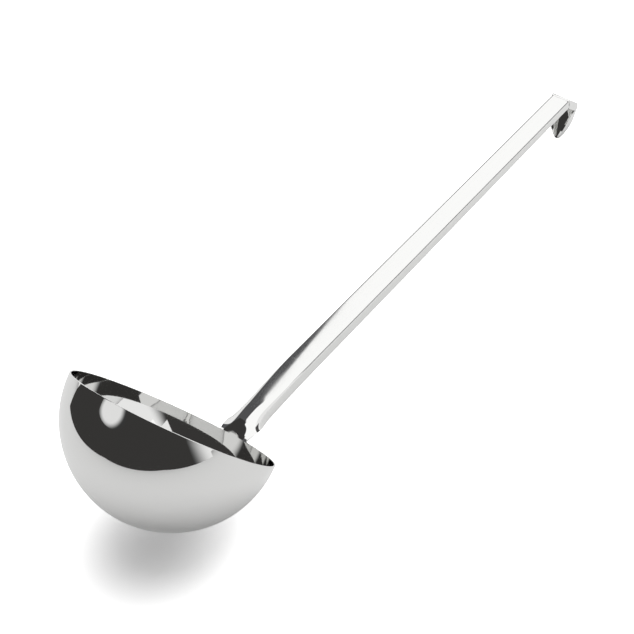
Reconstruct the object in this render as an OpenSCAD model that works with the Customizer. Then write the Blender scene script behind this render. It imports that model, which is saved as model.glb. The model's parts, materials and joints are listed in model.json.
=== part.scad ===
// Soup ladle pressed from polished stainless sheet: a round bowl, a neck that grows
// out of its rim, a long channel-shaped handle and a hook at the end to hang it by.
// It lies as it does on a table: on the round of the bowl and the tip of the hook.
// The origin is on the table under the middle of the part, and +X runs to the hook.

/* [Sheet] */
// Thickness of the steel sheet
sheet_t = 1; // [0.8:0.1:1.2]

/* [Bowl] */
// Outside diameter of the bowl
bowl_d = 120; // [100:1:160]
// Height of the straight lip above the round of the bowl
lip_h = 1; // [0.5:0.5:5]

/* [Neck] */
// Width of the neck where it leaves the rim, between its fillets
root_w = 18.5; // [16:0.5:26]
// Radius of the fillet between the rim and each edge of the neck
root_fillet_r = 1.5; // [1:0.5:4]
// Width of the flat between the soft creases at the foot of the neck
root_flat_w = 3; // [2:0.5:10]
// Angle between the handle and the axis of the bowl
handle_lean = 34.6; // [25:0.2:45]
// Radius of the bend from upright to leaning, at the middle of the sheet
neck_bend_r = 32; // [28:1:45]
// Length of the neck along the sheet, from the rim to the crisp channel
neck_len = 58; // [50:1:70]
// Length from the rim over which the flanges fold back and grow to their full depth
fold_len = 24; // [18:1:40]
// Radius of the soft creases at the foot of the neck
root_crease_r = 6; // [2:0.2:6.6]

/* [Handle] */
// Length of the straight channel, from the neck to the sharp fold
handle_len = 240; // [190:1:290]
// Width over the flanges at the neck
channel_w_low = 15; // [13:0.1:18]
// Width over the flanges at the hook
channel_w_top = 12.6; // [11:0.1:13]
// Depth of the flanges at the neck
flange_low = 7.2; // [6:0.1:9]
// Depth of the flanges at the hook
flange_top = 4.8; // [4:0.1:5.5]
// Outside radius of the creases between the face and its flanges
crease_r = 1.5; // [1.3:0.1:2]

/* [Hook] */
// Angle of the sharp fold
fold_angle = 51; // [40:1:60]
// Length of the bridge, from the fold to the corner of the hook bend
bridge_len = 11.2; // [10:0.2:16]
// Angle of the hook bend
bend_angle = 84; // [75:1:95]
// Outside radius of the hook bend
bend_r = 3; // [2.5:0.1:4]
// Length of the tongue, from the corner of the hook bend to the tip
tongue_len = 24; // [22:0.5:32]
// Height of the raised border of the tongue
tongue_border = 4.6; // [3:0.1:5]
// Radius of the round tip of the tongue
tip_r = 2.2; // [2:0.1:3]
// Length over which the tongue narrows to its tip
tip_len = 16; // [12:0.5:16]

/* [Hidden] */
$fn = 96;
steel = "silver";
far = 400;              // larger than any piece, for cutting tools
bowl_r = bowl_d / 2;
rim_r = bowl_r - sheet_t / 2;           // middle of the sheet at the rim

// The neck: rings of points along the sheet, each across its width
ring_count = 26;
web_steps = 5;
crease_steps = 8;
flange_steps = 4;
bend_steps = 14;
side_steps = 10;
tip_steps = 6;
border_steps = 16;
neck_bend_len = neck_bend_r * handle_lean * PI / 180;
crease_mid_r = crease_r - sheet_t / 2;
low_half_dev = channel_w_low / 2 + flange_low - 2 * crease_r + crease_mid_r * PI / 2;

function smooth(t) = let (c = max(0, min(1, t))) c * c * (3 - 2 * c);
function blend(a, b, t) = a + (b - a) * t;

// Path of the middle of the sheet, as [x, z] in the bowl's own frame
function neck_turn(s) = min(s, neck_bend_len) / neck_bend_r * 180 / PI;
function neck_path(s) =
    let (a = neck_turn(s), run = max(0, s - neck_bend_len))
    [rim_r + neck_bend_r * (1 - cos(a)) + run * sin(a),
     neck_bend_r * sin(a) + run * cos(a)];

// How far the channel is formed: fast at the rim, then ever more slowly
function formed(s) = 1 - (1 - min(1, s / fold_len)) ^ 2;

// Half width along the sheet: a fillet at the rim, then growing to the channel
function root_flare(s) = s >= root_fillet_r ? 0
    : root_fillet_r - sqrt(root_fillet_r ^ 2 - (root_fillet_r - s) ^ 2);
function neck_half(s) = blend(root_w / 2, low_half_dev, formed(s)) + root_flare(s);

// Across the sheet the crease runs from the edge of the flat to where the flange starts.
// The flat widens and the crease sharpens on the way up the neck.
function soften(s) = blend(root_crease_r, crease_mid_r, smooth(s / neck_len));
function crease_from(s) =
    blend(root_flat_w / 2, channel_w_low / 2 - crease_r, smooth(s / neck_len));
function crease_to(s) = min(neck_half(s) - 0.5, crease_from(s) + soften(s) * PI / 2);

// The sheet follows the rim at its foot, and its flanks fold back from there
function round_turn(s, w) = -(1 - formed(s)) * w / rim_r * 180 / PI;
function fold_turn(s, w) =
    90 * formed(s) * max(0, min(1, (w - crease_from(s)) / (crease_to(s) - crease_from(s))));
function sheet_turn(s, w) = round_turn(s, w) + fold_turn(s, w);

// Stations across one half of the sheet, from the middle to the edge
function stations(s) = concat(
    [for (i = [0 : web_steps - 1]) crease_from(s) * i / web_steps],
    [for (i = [0 : crease_steps - 1])
        blend(crease_from(s), crease_to(s), i / crease_steps)],
    [for (i = [0 : flange_steps]) blend(crease_to(s), neck_half(s), i / flange_steps)]);

// Points [y, back] of one half section, found by walking along the sheet
function walk(s, w) =
    [for (i = 0, p = [0, 0]; i < len(w);
          i = i + 1,
          p = i < len(w)
              ? let (a = sheet_turn(s, (w[i] + w[i - 1]) / 2))
                p + (w[i] - w[i - 1]) * [cos(a), sin(a)]
              : p) p];

// The walk moved out to one face of the sheet: side is 1 for the front, -1 for the back
function half_face(s, side) =
    let (w = stations(s), mid = walk(s, w))
    [for (i = [0 : len(w) - 1])
        let (a = sheet_turn(s, w[i]))
        mid[i] + side * sheet_t / 2 * [sin(a), -cos(a)]];

// One ring: the front from edge to edge, then the back the other way round
function ring_outline(s) =
    let (front = half_face(s, 1), back = half_face(s, -1), n = len(front))
    concat(
        [for (i = [n - 1 : -1 : 1]) [-front[i].x, front[i].y]], front,
        [for (i = [n - 1 : -1 : 1]) back[i]],
        [for (i = [0 : n - 1]) [-back[i].x, back[i].y]]);
function ring_points(s) =
    let (c = neck_path(s), a = neck_turn(s))
    [for (p = ring_outline(s)) [c.x + p.y * cos(a), p.x, c.y - p.y * sin(a)]];

// Rings lie closer together in the fillet and the bend than in the straight
function ring_at(i) = neck_len * (i / ring_count) ^ 1.6;

// The hook from the side, as [x, z] in the bridge's frame: x down the bridge, its outer
// face at z = 0. A point on the tongue lies u along it and h in from its outer face.
half_top = channel_w_top / 2;
bend_setback = bend_r * tan(bend_angle / 2);
function bend_arc(r) = [for (i = [0 : bend_steps])
    let (a = bend_angle * i / bend_steps)
    [bridge_len - bend_setback + r * sin(a), r * cos(a) - bend_r]];
function on_tongue(u, h) =
    [bridge_len + u * cos(bend_angle) - h * sin(bend_angle),
     -u * sin(bend_angle) - h * cos(bend_angle)];

// The mitre of the fold, at a depth under the face
function at_mitre(depth) = [depth * tan(fold_angle / 2), -depth];

// Outline of the tongue from above: two arcs run from its sides into its round tip
tip_back = tip_len - tip_r;
side_arc_r = (tip_back ^ 2 + half_top ^ 2 - tip_r ^ 2) / (2 * (half_top - tip_r));
arc_centre = tongue_len - tip_len;
tip_turn = atan2(side_arc_r - half_top, tip_back);
function round_point(centre, r, a) = centre + r * [cos(a), sin(a)];
function tongue_side(inset) = concat(
    [for (i = [0 : side_steps])
        round_point([arc_centre, half_top - side_arc_r], side_arc_r - inset,
                    blend(90, tip_turn, i / side_steps))],
    [for (i = [1 : tip_steps])
        round_point([tongue_len - tip_r, 0], tip_r - inset,
                    blend(tip_turn, 0, i / tip_steps))]);
function both_sides(points) =
    concat(points, [for (i = [len(points) - 2 : -1 : 0]) [points[i].x, -points[i].y]]);

// The tongue's border rises and falls on one arc, from just past the bend to the tip
border_from = bend_setback + 1;
border_mid = (border_from + tongue_len) / 2;
border_rise = tongue_border - sheet_t;
border_arc_r = ((tongue_len - border_from) ^ 2 / 4 + border_rise ^ 2) / (2 * border_rise);
function border_height(u) =
    tongue_border - border_arc_r + sqrt(border_arc_r ^ 2 - (u - border_mid) ^ 2);

// Where the parts lie, in the bowl's frame: x to the handle, z out of the bowl
handle_dir = [sin(handle_lean), cos(handle_lean)];
handle_back = [cos(handle_lean), -sin(handle_lean)];
face_start = neck_path(neck_len) - handle_back * sheet_t / 2;
corner_fold = face_start + handle_len * handle_dir;
bridge_dir = cos(fold_angle) * handle_dir + sin(fold_angle) * handle_back;
corner_bend = corner_fold + bridge_len * bridge_dir;
tongue_turn = fold_angle + bend_angle;
tongue_dir = cos(tongue_turn) * handle_dir + sin(tongue_turn) * handle_back;
tongue_tip = corner_bend + tongue_len * tongue_dir;
bend_centre = corner_bend - bend_setback * bridge_dir
    + bend_r * (cos(fold_angle) * handle_back - sin(fold_angle) * handle_dir);

// The ladle tips toward its handle until the tip of the hook meets the table
round_centre = [0, -lip_h];
to_tip = tongue_tip - round_centre;
tilt = atan2(to_tip.y, to_tip.x) + asin(bowl_r / norm(to_tip));
function laid(p) = [p.x * cos(tilt) + p.y * sin(tilt), p.y * cos(tilt) - p.x * sin(tilt)];
x_least = laid(round_centre).x - bowl_r;
x_most = laid(bend_centre).x + bend_r;
lay_shift = [-(x_least + x_most) / 2, bowl_r - laid(round_centre).y];

module in_bowl_frame() {
    translate([lay_shift.x, 0, lay_shift.y]) rotate([0, tilt, 0]) children();
}

// Handle frame: x up the handle, z out of its front face, the face itself at z = 0
module in_handle_frame() {
    in_bowl_frame()
        translate([face_start.x, 0, face_start.y])
            rotate([0, handle_lean - 90, 0]) children();
}

module bowl_fill(r, above) {
    translate([0, -lip_h]) circle(r);
    translate([0, -lip_h]) square([r, lip_h + above]);
}

module bowl() {
    color(steel)
        in_bowl_frame()
            rotate_extrude()
                intersection() {
                    difference() {
                        bowl_fill(bowl_r, 0);
                        bowl_fill(bowl_r - sheet_t, 1);
                    }
                    translate([0, -far]) square(far);
                }
}

module neck() {
    rings = [for (i = [0 : ring_count]) ring_points(ring_at(i))];
    n = len(rings[0]);
    half = n / 2;
    last = ring_count * n;
    sides = [for (r = [0 : ring_count - 1], k = [0 : n - 1])
        let (a = r * n + k, b = r * n + (k + 1) % n)
        each [[a, b, b + n], [a, b + n, a + n]]];
    foot = [for (k = [0 : half - 2]) let (m = n - 1 - k)
        each [[k, m, m - 1], [k, m - 1, k + 1]]];
    head = [for (f = foot) [last + f.z, last + f.y, last + f.x]];
    color(steel)
        in_bowl_frame()
            polyhedron([for (r = rings) each r], concat(sides, foot, head), convexity = 4);
}

// One half of the handle: its square outer corner on the x axis, its face at z = 0
module half_channel() {
    function depth(x) = flange_low + (flange_top - flange_low) * x / handle_len;
    low = -1;
    high = handle_len + 1;
    half_face = channel_w_low / 2 + 1;
    translate([low, -half_face, -sheet_t])
        cube([high - low, half_face - crease_r, sheet_t]);
    translate([low, 0, 0]) rotate([90, 0, 90]) linear_extrude(high - low) crease();
    rotate([90, 0, 0])
        linear_extrude(sheet_t)
            polygon([[low, -crease_r], [low, -depth(low)],
                     [high, -depth(high)], [high, -crease_r]]);
}

// Quarter ring that joins the face to a flange, its square outer corner at the origin
module crease() {
    function corner_arc(r, from, to) = [for (i = [0 : crease_steps])
        round_point([-crease_r, -crease_r], r, blend(from, to, i / crease_steps))];
    polygon(concat(corner_arc(crease_r, 0, 90), corner_arc(crease_r - sheet_t, 90, 0)));
}

// Extrudes a side profile, as [x, z], across a width
module across(width, profile) {
    rotate([90, 0, 0]) linear_extrude(width, center = true) polygon(profile);
}

// The flanges lie behind the face, and both taper toward the hook. The two halves
// overlap along the middle of the face. The foot is cut square, and the top is mitred.
module handle() {
    taper = atan((channel_w_low - channel_w_top) / (2 * handle_len));
    deep = 2 * flange_low;
    color(steel)
        in_handle_frame()
            intersection() {
                for (side = [0, 1])
                    mirror([0, side, 0])
                        translate([0, channel_w_low / 2, 0]) rotate([0, 0, -taper])
                            half_channel();
                across(2 * channel_w_low,
                       [[0, 1], [0, -deep],
                        [handle_len - at_mitre(deep).x, -deep],
                        [handle_len - at_mitre(-1).x, 1]]);
            }
}

// Past the fold the channel runs on down the bridge, and its flanges close the corner
// under the bend
module bridge() {
    arc = bend_arc(bend_r - sheet_t / 2);
    deep = flange_top + 1;
    intersection() {
        union() {
            for (side = [0, 1])
                mirror([0, side, 0])
                    translate([-flange_top, half_top, 0]) rotate([90, 0, 90])
                        linear_extrude(bridge_len + 2 * flange_top) {
                            crease();
                            translate([-sheet_t, -flange_top])
                                square([sheet_t, flange_top - crease_r]);
                        }
            translate([-flange_top, crease_r - half_top, -sheet_t])
                cube([bridge_len + 2 * flange_top, channel_w_top - 2 * crease_r, sheet_t]);
        }
        across(far, concat([at_mitre(-1), [arc[0].x, 1]], arc,
                           [on_tongue(deep / sin(bend_angle), sheet_t / 2),
                            at_mitre(deep)]));
    }
}

// Stands on the tongue's outline, through its sheet and its border
module on_tongue_plan() {
    translate([bridge_len, 0, 0]) rotate([0, bend_angle, 0])
        translate([0, 0, -2 * tongue_border])
            linear_extrude(4 * tongue_border) children();
}

// The sheet of the bend and the tongue, cut to the tongue's outline
module tongue_sheet() {
    past_tip = tongue_len + sheet_t;
    inner = bend_arc(bend_r - sheet_t);
    difference() {
        across(channel_w_top,
                    concat(bend_arc(bend_r),
                           [on_tongue(past_tip, 0), on_tongue(past_tip, sheet_t)],
                           [for (i = [bend_steps : -1 : 0]) inner[i]]));
        on_tongue_plan()
            difference() {
                translate([arc_centre, -channel_w_top])
                    square([tongue_len, 2 * channel_w_top]);
                polygon(both_sides(tongue_side(0)));
            }
    }
}

// The raised border stands on the edge of the tongue's sheet
module tongue_rim() {
    intersection() {
        across(channel_w_top,
                    concat([on_tongue(border_from, sheet_t / 2)],
                           [for (i = [0 : border_steps])
                               let (u = blend(border_from, tongue_len, i / border_steps))
                               on_tongue(u, border_height(u))],
                           [on_tongue(tongue_len, sheet_t / 2)]));
        on_tongue_plan()
            difference() {
                polygon(both_sides(concat([[0, half_top]], tongue_side(0))));
                polygon(both_sides(concat([[0, half_top - sheet_t]], tongue_side(sheet_t))));
            }
    }
}

module hook() {
    color(steel)
        in_handle_frame()
            translate([handle_len, 0, 0]) rotate([0, fold_angle, 0])
                union() {
                    bridge();
                    tongue_sheet();
                    tongue_rim();
                }
}

bowl();
neck();
handle();
hook();
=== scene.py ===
import json
import math

import bmesh
import bpy
from mathutils import Matrix, Vector


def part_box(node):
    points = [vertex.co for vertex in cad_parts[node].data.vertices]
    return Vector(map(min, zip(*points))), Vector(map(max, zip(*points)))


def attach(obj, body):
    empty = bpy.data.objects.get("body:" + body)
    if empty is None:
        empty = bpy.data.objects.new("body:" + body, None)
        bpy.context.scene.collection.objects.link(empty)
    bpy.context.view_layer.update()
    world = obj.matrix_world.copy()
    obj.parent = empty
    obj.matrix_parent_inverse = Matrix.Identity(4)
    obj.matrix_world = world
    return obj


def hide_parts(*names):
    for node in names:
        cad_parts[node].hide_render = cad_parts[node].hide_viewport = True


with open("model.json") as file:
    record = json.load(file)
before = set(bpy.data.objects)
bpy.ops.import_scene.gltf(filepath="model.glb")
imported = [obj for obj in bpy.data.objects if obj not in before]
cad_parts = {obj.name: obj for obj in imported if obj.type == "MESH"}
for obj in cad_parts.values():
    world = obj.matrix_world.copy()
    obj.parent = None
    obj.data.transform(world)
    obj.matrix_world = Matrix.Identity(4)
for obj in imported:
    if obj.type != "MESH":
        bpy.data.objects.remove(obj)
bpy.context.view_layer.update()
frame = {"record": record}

# ---------------------------------------------------------------------------------------
# The bowl: a round cup pressed from 1 mm stainless sheet. It has a short straight lip
# and a plain rim, and it was turned against a polishing mop to a mirror finish.
mm = 0.001
sheet = 1 * mm
bowl_radius = 60 * mm
lip_height = 1 * mm
rim_rounding = 0.15 * mm
neck_foot_half_width = 11 * mm      # the rim stays plain where the neck grows out of it
bowl_steps = 72
rim_steps = 192
rim_segments = 3
bowl_lines, bowl_wear = (60, 60, 900), 0.03
smooth_below = math.radians(35)     # sharper edges than this stay crisp
merging = 0.001 * mm                # points closer than this are one
on_line = 0.01 * mm                 # points closer than this to a line lie on it
slack = 0.1 * mm                    # room for error when edges are picked by place

# The polish of all pieces: fine lines from the mop, and dull clouds from use
steel_colour = (0.78, 0.78, 0.77, 1)
finest_polish = 0.018               # roughness where the mop left the best finish
line_depth, line_detail = 0.0002 * mm, 6
cloud_scale, cloud_detail = 45, 3
cloud_range = (0.35, 0.75)          # the part of the noise that runs from bright to dull

# The ladle lies tipped over: the bowl's axis leans toward the handle, whose face is
# given by the frame's own mount.
handle_lean = math.radians(34.6)
face_normal = next(Vector(m["axis"]) for m in frame["record"]["mounts"]
                   if m["name"] == "handle_face")
tilt = math.pi / 2 - handle_lean - math.atan2(-face_normal.x, face_normal.z)
bowl_axis = Vector((math.sin(tilt), 0, math.cos(tilt)))
round_centre = Vector((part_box("bowl")[0].x + bowl_radius, 0, bowl_radius))
in_bowl = (Matrix.Translation(round_centre + lip_height * bowl_axis)
           @ Matrix.Rotation(tilt, 4, "Y"))


def extrude_point(bm, point, step):
    """Draws an edge from a point by that step and gives the new point."""
    new = bmesh.ops.extrude_vert_indiv(bm, verts=[point])["verts"][0]
    new.co += Vector(step)
    return new


def turn_point(bm, point, centre, axis, degrees, steps):
    """Draws an arc of edges from a point about a centre and gives the last point."""
    last = bmesh.ops.spin(bm, geom=[point], cent=centre, axis=axis,
                          angle=math.radians(degrees), steps=steps)["geom_last"]
    return [v for v in last if isinstance(v, bmesh.types.BMVert)][0]


def round_off(bm, edges, radius, segments):
    """Rounds edges to a radius."""
    bmesh.ops.bevel(bm, geom=edges, offset=radius, offset_type="OFFSET", affect="EDGES",
                    segments=segments, profile=0.5, material=-1, clamp_overlap=True)


def make_piece(bm, name, place):
    """Puts a finished mesh in its place as an object, smooth but for its sharp edges."""
    bm.transform(place)
    mesh = bpy.data.meshes.new(name)
    bm.to_mesh(mesh)
    bm.free()
    mesh.shade_smooth()
    mesh.set_sharp_from_angle(angle=smooth_below)
    piece = bpy.data.objects.new(name, mesh)
    bpy.context.scene.collection.objects.link(piece)
    return piece


def polished_steel(name, place, line_scale, wear):
    """Mirror-polished stainless steel. line_scale stretches the mop's fine lines along
    or across the piece's own frame, and wear is the depth of its faint dulling."""
    material = bpy.data.materials.new(name)
    material.use_nodes = True
    nodes = material.node_tree.nodes
    links = material.node_tree.links
    shader = nodes["Principled BSDF"]
    shader.inputs["Base Color"].default_value = steel_colour
    shader.inputs["Metallic"].default_value = 1
    where = nodes.new("ShaderNodeTexCoord")
    own = nodes.new("ShaderNodeMapping")
    undo = place.inverted()
    own.inputs["Location"].default_value = undo.translation
    own.inputs["Rotation"].default_value = undo.to_euler()
    links.new(where.outputs["Object"], own.inputs["Vector"])
    stretch = nodes.new("ShaderNodeMapping")
    stretch.inputs["Scale"].default_value = line_scale
    links.new(own.outputs["Vector"], stretch.inputs["Vector"])
    lines = nodes.new("ShaderNodeTexNoise")
    lines.inputs["Scale"].default_value = 1
    lines.inputs["Detail"].default_value = line_detail
    links.new(stretch.outputs["Vector"], lines.inputs["Vector"])
    cloud = nodes.new("ShaderNodeTexNoise")
    cloud.inputs["Scale"].default_value = cloud_scale
    cloud.inputs["Detail"].default_value = cloud_detail
    links.new(own.outputs["Vector"], cloud.inputs["Vector"])
    dulling = nodes.new("ShaderNodeMapRange")
    dulling.inputs["From Min"].default_value = cloud_range[0]
    dulling.inputs["From Max"].default_value = cloud_range[1]
    dulling.inputs["To Min"].default_value = finest_polish
    dulling.inputs["To Max"].default_value = finest_polish + wear
    links.new(cloud.outputs["Fac"], dulling.inputs["Value"])
    links.new(dulling.outputs["Result"], shader.inputs["Roughness"])
    bump = nodes.new("ShaderNodeBump")
    bump.inputs["Strength"].default_value = 1
    bump.inputs["Distance"].default_value = line_depth
    links.new(lines.outputs["Fac"], bump.inputs["Height"])
    links.new(bump.outputs["Normal"], shader.inputs["Normal"])
    return material


bm = bmesh.new()
pole = bm.verts.new((0, 0, -lip_height - bowl_radius))
below_lip = (0, 0, -lip_height)
point = turn_point(bm, pole, below_lip, (0, 1, 0), -90, bowl_steps)
point = extrude_point(bm, point, (0, 0, lip_height - 2 * rim_rounding))
point = extrude_point(bm, point, (0, 0, 2 * rim_rounding))
point = extrude_point(bm, point, (-sheet, 0, 0))
point = extrude_point(bm, point, (0, 0, -2 * rim_rounding))
point = extrude_point(bm, point, (0, 0, 2 * rim_rounding - lip_height))
turn_point(bm, point, below_lip, (0, 1, 0), 90, bowl_steps)
bmesh.ops.spin(bm, geom=bm.verts[:] + bm.edges[:], cent=(0, 0, 0), axis=(0, 0, 1),
               angle=2 * math.pi, steps=rim_steps, use_merge=True)
bmesh.ops.remove_doubles(bm, verts=bm.verts, dist=merging)
bmesh.ops.recalc_face_normals(bm, faces=bm.faces)
on_rim = [e for e in bm.edges
          if all(abs(v.co.z) < on_line for v in e.verts)
          and abs(e.verts[0].co.xy.length - e.verts[1].co.xy.length) < slack
          and not (e.verts[0].co.x > 0 and abs(e.verts[0].co.y) < neck_foot_half_width)]
round_off(bm, on_rim, rim_rounding, rim_segments)
bowl = make_piece(bm, "bowl_shell", in_bowl)
bowl.data.materials.append(
    polished_steel("turned_polish", in_bowl, bowl_lines, bowl_wear))
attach(bowl, "root")
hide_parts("bowl")

# ---------------------------------------------------------------------------------------
# The neck: the strip of sheet that leaves the bowl's rim. It was formed in a press: its
# edges fold back into flanges and the whole strip bends from upright to the handle.
root_width = 18.5 * mm
root_fillet = 1.5 * mm
root_flat = 3 * mm
neck_bend_radius = 32 * mm
neck_length = 58 * mm
fold_length = 24 * mm
root_crease_radius = 6 * mm
channel_width_low = 15 * mm
flange_low = 7.2 * mm
crease_radius = 1.5 * mm
least_flange = 0.5 * mm         # left flat between a soft crease and the edge
flat_steps, soft_steps, flange_steps = 10, 18, 10
neck_steps, row_crowding = 90, 1.6  # the rows crowd toward the rim
neck_lines, neck_wear = (60, 400, 60), 0.012
rim_radius = bowl_radius - sheet / 2
neck_bend_length = neck_bend_radius * handle_lean
crisp_radius = crease_radius - sheet / 2
channel_half_strip = (channel_width_low / 2 + flange_low - 2 * crease_radius
                      + crisp_radius * math.pi / 2)


def eased(t):
    """Goes softly from 0 to 1."""
    t = max(0, min(1, t))
    return t * t * (3 - 2 * t)


def between(a, b, t):
    """The value a share t of the way from a to b."""
    return a + (b - a) * t


def formed(s):
    """How far the channel is formed, s along the sheet from the rim."""
    return 1 - (1 - min(1, s / fold_length)) ** 2


def half_strip(s):
    """Half the width of the sheet, measured along it."""
    flare = 0
    if s < root_fillet:
        flare = root_fillet - math.sqrt(root_fillet ** 2 - (root_fillet - s) ** 2)
    return between(root_width / 2, channel_half_strip, formed(s)) + flare


def crease_span(s):
    """Where the crease starts and ends across the sheet."""
    rise = eased(s / neck_length)
    start = between(root_flat / 2, channel_width_low / 2 - crease_radius, rise)
    radius = between(root_crease_radius, crisp_radius, rise)
    return start, min(half_strip(s) - least_flange, start + radius * math.pi / 2)


def sheet_turn(s, w):
    """How far the sheet has turned back at w from its middle."""
    start, end = crease_span(s)
    fold = math.pi / 2 * formed(s) * max(0, min(1, (w - start) / (end - start)))
    return fold - (1 - formed(s)) * w / rim_radius


def half_section(s, out):
    """Points (across, back) from the middle to the edge, moved out by half the sheet."""
    start, end = crease_span(s)
    edge = half_strip(s)
    stations = [start * i / flat_steps for i in range(flat_steps)]
    stations += [between(start, end, i / soft_steps) for i in range(soft_steps)]
    stations += [between(end, edge, i / flange_steps) for i in range(flange_steps + 1)]
    points = []
    across = back = 0
    for i, w in enumerate(stations):
        if i:
            step = w - stations[i - 1]
            turn = sheet_turn(s, w - step / 2)
            across += step * math.cos(turn)
            back += step * math.sin(turn)
        turn = sheet_turn(s, w)
        points.append((across + out * math.sin(turn), back - out * math.cos(turn)))
    return points


def neck_path(s):
    """Middle of the sheet in the bowl's frame, and its lean there."""
    lean = min(s, neck_bend_length) / neck_bend_radius
    run = max(0, s - neck_bend_length)
    x = rim_radius + neck_bend_radius * (1 - math.cos(lean)) + run * math.sin(lean)
    return x, neck_bend_radius * math.sin(lean) + run * math.cos(lean), lean


half_columns = flat_steps + soft_steps + flange_steps
bm = bmesh.new()
for out in (sheet / 2, -sheet / 2):
    made = bmesh.ops.create_grid(bm, x_segments=2 * half_columns, y_segments=neck_steps,
                                 size=1)["verts"]
    rows = [neck_length * (i / neck_steps) ** row_crowding
            for i in range(neck_steps + 1)]
    sections = [half_section(s, out) for s in rows]
    for v in made:
        column = round((v.co.x + 1) * half_columns) - half_columns
        row = round((v.co.y + 1) / 2 * neck_steps)
        across, back = sections[row][abs(column)]
        x, z, lean = neck_path(rows[row])
        v.co = (x + back * math.cos(lean), math.copysign(across, column),
                z - back * math.sin(lean))
bmesh.ops.bridge_loops(bm, edges=[e for e in bm.edges if e.is_boundary])
bmesh.ops.recalc_face_normals(bm, faces=bm.faces)
neck = make_piece(bm, "neck_strip", in_bowl)
neck.data.materials.append(
    polished_steel("neck_polish", in_bowl, neck_lines, neck_wear))
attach(neck, "root")
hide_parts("neck")

# ---------------------------------------------------------------------------------------
# The handle: a straight channel of the same sheet, a flat face with a flange folded back
# along each side. It narrows toward the hook and was polished along its length.
handle_length = 240 * mm
channel_width_top = 12.6 * mm
flange_top = 4.8 * mm
fold_straight = 1.5 * mm        # the last stretch before the fold, made with the hook
flat_border = 0.15 * mm
handle_flat = 500 * mm * mm     # faces larger than this are the flats
edge_rounding = 0.15 * mm
crease_segments, edge_segments = 10, 2
sharp_corner = math.radians(60)  # the corners of the free edges turn more than this
handle_lines, handle_wear = (12, 500, 500), 0.012
x, z, lean = neck_path(neck_length)
face_start = Vector((x - sheet / 2 * math.cos(lean), 0, z + sheet / 2 * math.sin(lean)))
in_handle = (in_bowl @ Matrix.Translation(face_start)
             @ Matrix.Rotation(handle_lean - math.pi / 2, 4, "Y"))


def channel_size(x):
    """Half width and flange depth, x along the handle."""
    t = x / handle_length
    return (between(channel_width_low, channel_width_top, t) / 2,
            between(flange_low, flange_top, t))


def keep_flat(bm, least_area):
    """Insets the large flat faces, so that smooth shading stays inside the creases."""
    flats = [f for f in bm.faces if f.calc_area() > least_area]
    bmesh.ops.inset_individual(bm, faces=flats, thickness=flat_border,
                               use_even_offset=True)


def runs_along(edge):
    """Whether an edge runs up the handle, and not across it."""
    return abs(edge.verts[0].co.x - edge.verts[1].co.x) > handle_length / 2


bm = bmesh.new()
half, depth = channel_size(0)
corner = bm.verts.new((0, half, -depth))
for step in ((0, 0, depth), (0, -2 * half, 0), (0, 0, -depth)):
    corner = extrude_point(bm, corner, step)
top = handle_length - fold_straight
half_end, depth_end = channel_size(top)
moved = bmesh.ops.extrude_edge_only(bm, edges=bm.edges)["geom"]
moved = [v for v in moved if isinstance(v, bmesh.types.BMVert)]
bmesh.ops.scale(bm, verts=moved, vec=(1, half_end / half, depth_end / depth))
bmesh.ops.translate(bm, verts=moved, vec=(top, 0, 0))
creases = [e for e in bm.edges
           if runs_along(e) and all(v.co.z > -slack for v in e.verts)]
round_off(bm, creases, crease_radius, crease_segments)
keep_flat(bm, handle_flat)
bmesh.ops.recalc_face_normals(bm, faces=bm.faces)
free_edges = [e for e in bm.edges if e.is_boundary and runs_along(e)]
bmesh.ops.solidify(bm, geom=bm.faces[:], thickness=sheet)
beside_free = set(f for e in free_edges for f in e.link_faces)
corners = [e for e in bm.edges
           if runs_along(e) and e.calc_face_angle(0) > sharp_corner
           and any(f in beside_free for f in e.link_faces)]
round_off(bm, corners, edge_rounding, edge_segments)
handle = make_piece(bm, "handle_channel", in_handle)
handle.data.materials.append(
    polished_steel("handle_polish", in_handle, handle_lines, handle_wear))
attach(handle, "root")
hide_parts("handle")

# ---------------------------------------------------------------------------------------
# The hook: the top end of the channel, folded sharply back and then bent round into a
# tongue. The tongue is a narrow leaf with a raised border that ends in a round tip.
fold_angle = math.radians(51)
fold_rounding = 0.35 * mm
bridge_length = 11.2 * mm
bend_angle = math.radians(84)
bend_radius = 3 * mm
tongue_length = 24 * mm
tongue_border = 4.6 * mm
tip_radius = 2.2 * mm
tip_length = 16 * mm
tip_border = 1.3 * mm           # the border has all but run out at the tip
border_gap = 1 * mm             # from the end of the bend to the start of the border
hook_crease = 0.6 * mm
least_crease = math.radians(30)
hook_flat = 10 * mm * mm        # faces larger than this are the flats
bend_steps, side_steps, tip_steps, plain_steps = 14, 24, 10, 6
hook_crease_segments = fold_segments = 4
hook_lines, hook_wear = (300, 60, 300), 0.02
half_top = channel_width_top / 2
bend_setback = bend_radius * math.tan(bend_angle / 2)
in_bridge = (in_handle @ Matrix.Translation((handle_length, 0, 0))
             @ Matrix.Rotation(fold_angle, 4, "Y"))


def before_fold(x, h):
    """A point of the handle's end, x before the fold and h in from the face."""
    return (-x * math.cos(fold_angle) + h * math.sin(fold_angle),
            -x * math.sin(fold_angle) - h * math.cos(fold_angle))


def on_tongue(u, h):
    """A point u along the tongue from the corner of the bend, h in from its outside."""
    return (bridge_length + u * math.cos(bend_angle) - h * math.sin(bend_angle),
            -u * math.sin(bend_angle) - h * math.cos(bend_angle))


def border_height(u):
    """The border rises and falls on one arc, from just past the bend to the tip."""
    start = bend_setback + border_gap
    rise = tongue_border - sheet
    reach = (tongue_length - start) / 2
    radius = (reach ** 2 + rise ** 2) / (2 * rise)
    inside = radius ** 2 - (u - start - reach) ** 2
    return max(tip_border, tongue_border - radius + math.sqrt(max(0, inside)))


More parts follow.
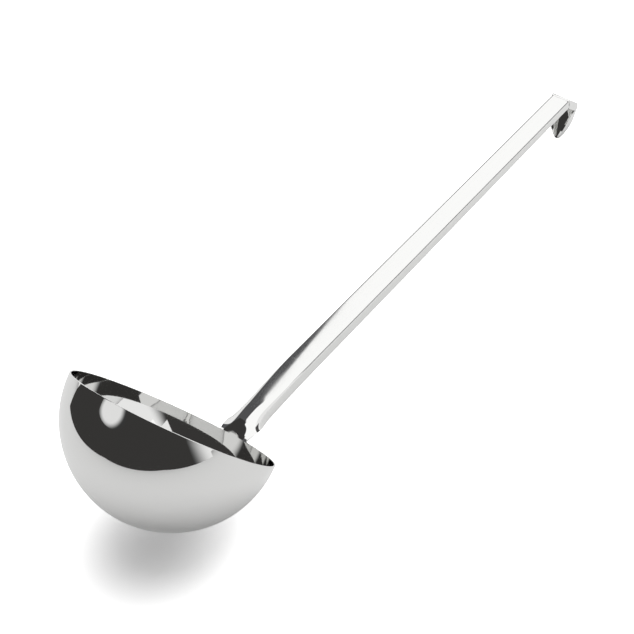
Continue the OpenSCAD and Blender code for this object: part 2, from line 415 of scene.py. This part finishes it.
def tongue_outline():
    """Half the outline, (u, across): a long arc down the side, then the round tip."""
    back = tip_length - tip_radius
    side = (back ** 2 + half_top ** 2 - tip_radius ** 2) / (2 * (half_top - tip_radius))
    turn = math.atan2(side - half_top, back)
    for i in range(side_steps):
        a = between(math.pi / 2, turn, i / side_steps)
        yield (tongue_length - tip_length + side * math.cos(a),
               half_top - side + side * math.sin(a))
    for i in range(tip_steps + 1):
        a = between(turn, 0, i / tip_steps)
        yield (tongue_length - tip_radius + tip_radius * math.cos(a),
               tip_radius * math.sin(a))


# Each station has a point on the outside of the sheet, its half width there, and the
# point that its flange or border reaches inside. The last corner of the flange is shared.
inner_corner_u = (flange_top - tip_border * math.cos(bend_angle)) / math.sin(bend_angle)
inner_corner = on_tongue(inner_corner_u, border_height(inner_corner_u))
bend_start = bridge_length - bend_setback
stations = [(before_fold(fold_straight, 0), half_top,
             before_fold(fold_straight, flange_top)),
            ((0, 0), half_top, (flange_top * math.tan(fold_angle / 2), -flange_top)),
            ((bend_start, 0), half_top, (bend_start, -flange_top))]
for i in range(1, bend_steps + 1):
    a = bend_angle * i / bend_steps
    outside = (bend_start + bend_radius * math.sin(a), bend_radius * (math.cos(a) - 1))
    stations.append((outside, half_top, inner_corner))
for i in range(plain_steps):
    u = between(inner_corner_u, tongue_length - tip_length, i / plain_steps)
    stations.append((on_tongue(u, 0), half_top, on_tongue(u, border_height(u))))
for u, across in tongue_outline():
    stations.append((on_tongue(u, 0), across, on_tongue(u, border_height(u))))

bm = bmesh.new()
(x, z), half, inside = stations[0]
end = bm.edges.new([bm.verts.new((x, side * half, z)) for side in (1, -1)])
handle_side = end
for (x, z), half, inside in stations[1:]:
    end = bmesh.ops.extrude_edge_only(bm, edges=[end])["geom"]
    end = next(e for e in end if isinstance(e, bmesh.types.BMEdge))
    for v in end.verts:
        v.co = (x, math.copysign(half, v.co.y), z)
bmesh.ops.remove_doubles(bm, verts=bm.verts, dist=merging)
creases = [e for e in bm.edges if e.is_boundary and e != handle_side]
walls = bmesh.ops.extrude_edge_only(bm, edges=creases)["geom"]
for v in [g for g in walls if isinstance(g, bmesh.types.BMVert)]:
    station = min(stations, key=lambda k: math.dist((v.co.x, abs(v.co.y), v.co.z),
                                                    (k[0][0], k[1], k[0][1])))
    v.co.x, v.co.z = station[2]
bmesh.ops.remove_doubles(bm, verts=bm.verts, dist=merging)
bmesh.ops.recalc_face_normals(bm, faces=bm.faces)
creases = [e for e in creases if e.is_valid and e.calc_face_angle(0) > least_crease]
round_off(bm, creases, hook_crease, hook_crease_segments)
bmesh.ops.recalc_face_normals(bm, faces=bm.faces)
bmesh.ops.solidify(bm, geom=bm.faces[:], thickness=sheet)
across_fold = [e for e in bm.edges
               if all(abs(v.co.x + v.co.z * math.tan(fold_angle / 2)) < on_line
                      and v.co.z > -hook_crease - slack for v in e.verts)]
round_off(bm, across_fold, fold_rounding, fold_segments)
keep_flat(bm, hook_flat)
hook = make_piece(bm, "hook_fold", in_bridge)
hook.data.materials.append(
    polished_steel("hook_polish", in_bridge, hook_lines, hook_wear))
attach(hook, "root")
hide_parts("hook")

# ---------------------------------------------------------------------------------------
# The studio: a white table under a wide white light panel. The rest of the room is unlit,
# and the polished steel mirrors it, with one window in it. Only the table shows itself.
table_size = 30
white = (1, 1, 1, 1)
table_colour = (0.8, 0.8, 0.8, 1)
table_glow_mirrored = 0.1
# Painted shadow: the camera sees the table's glow dim round the bowl and brighter than
# white farther off, where it hides the handle's real shadow.
glow_in_painted_shadow, glow_washing_out_shadows = 0.18, 1.3      # as the camera sees the table
painted_shadow_reach = (0, 0.1)                     # where the shadow starts to fade, and ends
painted_shadow_middle = round_centre + Vector((-0.043, -0.008, 0))


def set_white(nodes, links, seen, mirrored, other):
    """A strength that differs for the camera's rays, for those from metal or glass, and
    for the rest."""
    path = nodes.new("ShaderNodeLightPath")
    polished = nodes.new("ShaderNodeMath")
    polished.operation = "MAXIMUM"
    links.new(path.outputs["Is Glossy Ray"], polished.inputs[0])
    links.new(path.outputs["Is Transmission Ray"], polished.inputs[1])
    level = other
    for ray, strength in ((polished.outputs["Value"], mirrored),
                          (path.outputs["Is Camera Ray"], seen)):
        chosen = nodes.new("ShaderNodeMix")
        links.new(ray, chosen.inputs["Factor"])
        if level is other:
            chosen.inputs["A"].default_value = other
        else:
            links.new(level, chosen.inputs["A"])
        if isinstance(strength, bpy.types.NodeSocket):
            links.new(strength, chosen.inputs["B"])
        else:
            chosen.inputs["B"].default_value = strength
        level = chosen.outputs["Result"]
    return level


def by_distance(nodes, links, centre, reach, near, far):
    """A value that goes softly from near to far with the distance from a point."""
    where = nodes.new("ShaderNodeTexCoord")
    distance = nodes.new("ShaderNodeVectorMath")
    distance.operation = "DISTANCE"
    distance.inputs[1].default_value = centre
    links.new(where.outputs["Object"], distance.inputs[0])
    blend = nodes.new("ShaderNodeMapRange")
    blend.interpolation_type = "SMOOTHSTEP"
    blend.inputs["From Min"].default_value, blend.inputs["From Max"].default_value = reach
    blend.inputs["To Min"].default_value = near
    blend.inputs["To Max"].default_value = far
    links.new(distance.outputs["Value"], blend.inputs["Value"])
    return blend.outputs["Result"]


bm = bmesh.new()
bmesh.ops.create_grid(bm, x_segments=1, y_segments=1, size=table_size / 2)
table = make_piece(bm, "table", Matrix.Identity(4))
table_top = bpy.data.materials.new("white_table_top")
table_top.use_nodes = True
nodes, links = table_top.node_tree.nodes, table_top.node_tree.links
matt = nodes["Principled BSDF"]
matt.inputs["Base Color"].default_value = table_colour
matt.inputs["Roughness"].default_value = 1
matt.inputs["Specular IOR Level"].default_value = 0
matt.inputs["Emission Color"].default_value = white
# The painted shadow: the glow that the camera sees grows with the distance from under the
# bowl.
painted_shadow_glow = by_distance(nodes, links, Vector((*painted_shadow_middle.xy, 0)), painted_shadow_reach,
                   glow_in_painted_shadow, glow_washing_out_shadows)
links.new(set_white(nodes, links, painted_shadow_glow, table_glow_mirrored, 0.0),
          matt.inputs["Emission Strength"])
table.data.materials.append(table_top)


def mirrored_card(bm, name, colour, strength):
    """A card of one tone that only polished surfaces see."""
    card = make_piece(bm, name, Matrix.Identity(4))
    tone = bpy.data.materials.new(name)
    tone.use_nodes = True
    shade = tone.node_tree.nodes["Principled BSDF"]
    shade.inputs["Base Color"].default_value = (0, 0, 0, 1)
    shade.inputs["Specular IOR Level"].default_value = 0
    shade.inputs["Emission Color"].default_value = colour
    shade.inputs["Emission Strength"].default_value = strength
    card.data.materials.append(tone)
    card.visible_camera = False
    card.visible_diffuse = False
    card.visible_shadow = False
    return shade


def wall_along(foot, height):
    """An upright wall over a line on the floor."""
    bm = bmesh.new()
    point = bm.verts.new((*foot[0], 0))
    for (x0, y0), (x1, y1) in zip(foot, foot[1:]):
        point = extrude_point(bm, point, (x1 - x0, y1 - y0, 0))
    raised = bmesh.ops.extrude_edge_only(bm, edges=bm.edges)["geom"]
    bmesh.ops.translate(bm, vec=(0, 0, height),
                        verts=[g for g in raised if isinstance(g, bmesh.types.BMVert)])
    return bm


# The walls: far off behind the handle, with a low piece under its right end, and close
# past the table's edge beside the bowl. The near wall fades into the light at its end.
wall_height, far_wall_foot, fading_height = 4.5, 1.7, 1.0
far_colour, near_colour = (0.1, 0.1, 0.105, 1), (1, 0.97, 0.94, 1)
near_tone, low_tone = 0.045, 0.12
far_wall = [(3.6, 2.6), (-0.6, 2.6)]
low_wall = [(3.6, 2.6), (2.25, 2.6)]
near_wall = [(-0.6, 2.6), (-0.27, 0.44), (-1.3, 0.45), (-1.6, -1.0), (-0.58, -0.855)]
fading_wall = [(-0.58, -0.855), (-0.28, -0.81)]
bm = wall_along(far_wall, wall_height - far_wall_foot)
bmesh.ops.translate(bm, verts=bm.verts, vec=(0, 0, far_wall_foot))
mirrored_card(bm, "far_wall", far_colour, 1)
mirrored_card(wall_along(low_wall, far_wall_foot), "low_wall", white, low_tone)
mirrored_card(wall_along(near_wall, wall_height), "near_wall", near_colour, near_tone)
fading = mirrored_card(wall_along(fading_wall, fading_height), "fading_wall", white, 1)
nodes, links = fading.id_data.nodes, fading.id_data.links
far_aside, fading_length = 5, 0.33      # from so far aside, it fades in straight bands
faded_end = Vector((fading_wall[1][0] + far_aside, fading_wall[1][1], fading_height / 2))
links.new(by_distance(nodes, links, faded_end, (far_aside, far_aside + fading_length),
                      1.0, near_tone),
          fading.inputs["Emission Strength"])

# A black flag to the right of the handle draws the line of its crease
flag_reach, flag_side, flag_height = (0.15, 0.56), -0.45, (0.15, 0.46)
flag_tone = 0.08
bm = wall_along([(flag_reach[0], flag_side), (flag_reach[1], flag_side)],
                flag_height[1] - flag_height[0])
bmesh.ops.translate(bm, verts=bm.verts, vec=(0, 0, flag_height[0]))
mirrored_card(bm, "black_flag", white, flag_tone)

# The light panel overhead: one edge of it runs along the handle, and turns at the neck
panel_height, panel_light = 1.2, 1.22
panel_outline = [(2.6, -1.5), (2.6, 1.031), (0.525, 0.8734), (0.36, 0.79), (-0.05, 0.62),
                 (-0.4, 0.56), (-0.4, -1.5)]
bm = bmesh.new()
bm.faces.new([bm.verts.new((*corner, panel_height)) for corner in panel_outline])
mirrored_card(bm, "light_panel", white, panel_light)

# The window stands to the left of the camera, round as its blurred reflection
window_distance, window_width, window_rise = 0.7, 0.23, 0.17
window_light, window_fade, window_steps = 0.92, (0.12, 0.2), 48
window_azimuth, window_elevation = math.radians(149), math.radians(38)
toward_window = Vector((math.cos(window_azimuth) * math.cos(window_elevation),
                        math.sin(window_azimuth) * math.cos(window_elevation),
                        math.sin(window_elevation)))
window_place = round_centre + window_distance * toward_window
bm = bmesh.new()
bmesh.ops.create_circle(bm, cap_ends=True, segments=window_steps, radius=1)
bmesh.ops.scale(bm, verts=bm.verts, vec=(window_width, window_rise, 1))
bm.transform(Matrix.Translation(window_place)
             @ toward_window.to_track_quat("Z", "Y").to_matrix().to_4x4())
shade = mirrored_card(bm, "window", white, 1)
nodes, links = shade.id_data.nodes, shade.id_data.links
links.new(by_distance(nodes, links, window_place, window_fade, window_light, near_tone),
          shade.inputs["Emission Strength"])

# The world is white to camera and metal, and a weaker even light for the table
air_light = 0.44
world = bpy.data.worlds.new("studio")
bpy.context.scene.world = world
world.use_nodes = True
nodes, links = world.node_tree.nodes, world.node_tree.links
nodes["Background"].inputs["Color"].default_value = white
links.new(set_white(nodes, links, 1.0, 1.0, air_light),
          nodes["Background"].inputs["Strength"])

# The panel's light on the table, as one soft lamp
lamp_azimuth, lamp_elevation = math.radians(12), math.radians(62)
lamp_distance, lamp_size, lamp_power = 1.6, 2.2, 21
toward_lamp = Vector((math.cos(lamp_azimuth) * math.cos(lamp_elevation),
                      math.sin(lamp_azimuth) * math.cos(lamp_elevation),
                      math.sin(lamp_elevation)))
lamp_data = bpy.data.lights.new("soft_lamp", "AREA")
lamp_data.shape = "DISK"
lamp_data.size = lamp_size
lamp_data.energy = lamp_power
lamp = bpy.data.objects.new("soft_lamp", lamp_data)
lamp.location = round_centre + lamp_distance * toward_lamp
lamp.rotation_euler = toward_lamp.to_track_quat("Z", "Y").to_euler()
lamp.visible_glossy = False
bpy.context.scene.collection.objects.link(lamp)

# ---------------------------------------------------------------------------------------
# The camera stands on the bowl's side, looks down along the handle and is held tilted.
camera_place = Vector((-0.7601, -0.9079, 1.2108))
camera_aim = Vector((-0.02648, 0, 0.03678))
camera_roll = math.radians(-14.22)
sensor_width = 36
focal_length = 170.35
camera_data = bpy.data.cameras.new("camera")
camera_data.sensor_width = sensor_width
camera_data.lens = focal_length
camera = bpy.data.objects.new("camera", camera_data)
aim = (camera_place - camera_aim).to_track_quat("Z", "Y").to_matrix().to_4x4()
camera.matrix_world = (Matrix.Translation(camera_place) @ aim
                       @ Matrix.Rotation(camera_roll, 4, "Z"))
bpy.context.scene.collection.objects.link(camera)
bpy.context.scene.camera = camera
bpy.context.scene.view_settings.view_transform = "Standard"
